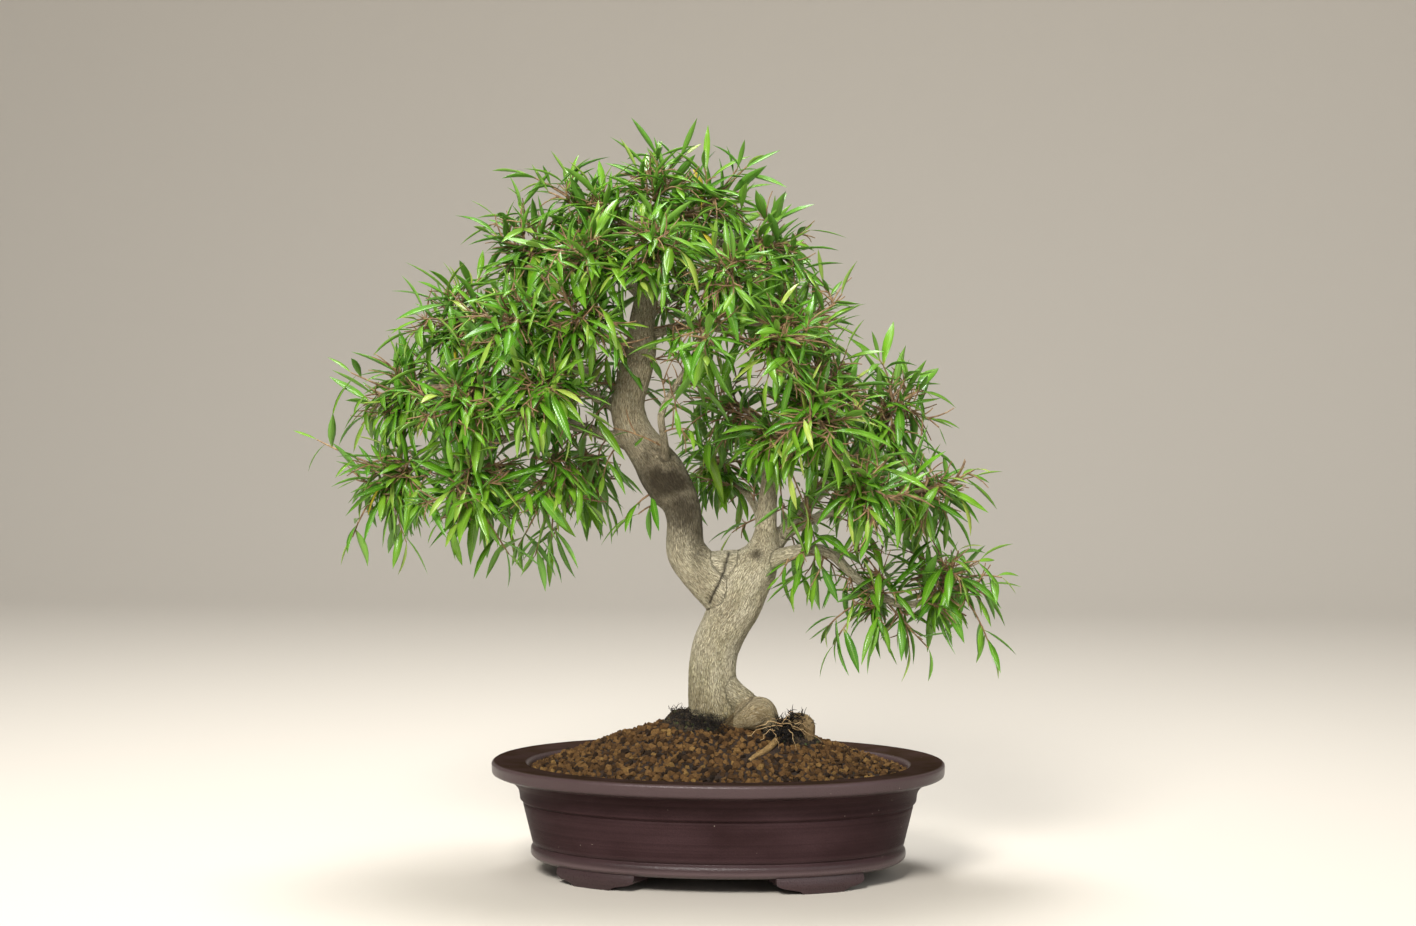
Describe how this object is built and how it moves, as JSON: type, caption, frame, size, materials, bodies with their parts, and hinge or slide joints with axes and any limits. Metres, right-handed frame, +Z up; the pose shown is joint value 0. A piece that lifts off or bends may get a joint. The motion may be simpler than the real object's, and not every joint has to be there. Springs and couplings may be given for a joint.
{
  "type": "willow leaf ficus bonsai",
  "caption": "Potted bonsai with narrow lance-shaped leaves, forked S-curved trunk, granule soil mound and an oval unglazed clay pot on bracket feet.",
  "frame": {"origin": "on the surface the pot stands on, under the middle of the whole object's box", "axes": "+Z up, +X along the pot's long side towards the lower right-hand boughs, -Y the front that the picture shows"},
  "size_m": [0.6106, 0.3574, 0.6187],
  "materials": {
    "clay": "matte",
    "grains": "matte",
    "bark": "matte",
    "leaf": "satin",
    "screen_mesh": "matte"
  },
  "bodies": {
    "root": {"pot": "clay", "drain_screen_left": "screen_mesh", "drain_screen_right": "screen_mesh", "soil": "grains", "trunk": "bark", "bough_left_low_tip": "leaf", "bough_left_low_front": "leaf", "bough_left_low_back": "leaf", "bough_left_low_inner": "leaf", "bough_left_low_inner_back": "leaf", "bough_left_mid_tip": "leaf", "bough_left_mid_front": "leaf", "bough_left_mid_back": "leaf", "bough_left_mid_inner": "leaf", "bough_left_mid_inner_back": "leaf", "bough_left_high_tip": "leaf", "bough_left_high_front": "leaf", "bough_left_high_back": "leaf", "bough_left_high_inner": "leaf", "bough_shoulder_left": "leaf", "bough_shoulder_left_front": "leaf", "bough_shoulder_left_back": "leaf", "bough_crown_left": "leaf", "bough_crown_top": "leaf", "bough_crown_right": "leaf", "bough_crown_front": "leaf", "bough_crown_back": "leaf", "bough_shoulder_right": "leaf", "bough_shoulder_right_front": "leaf", "bough_shoulder_right_back": "leaf", "bough_right_high_tip": "leaf", "bough_right_high_front": "leaf", "bough_heart_front": "leaf", "bough_right_mid": "leaf", "bough_right_mid_front": "leaf", "bough_right_mid_back": "leaf", "bough_right_mid_tip": "leaf", "bough_right_low_front": "leaf", "bough_right_low_tip": "leaf", "bough_right_low_back": "leaf", "bough_right_hang_tip": "leaf", "bough_right_hang": "leaf", "bough_heart_middle": "leaf", "bough_heart_right": "leaf", "bough_heart_back": "leaf"}
  },
  "joints": []
}
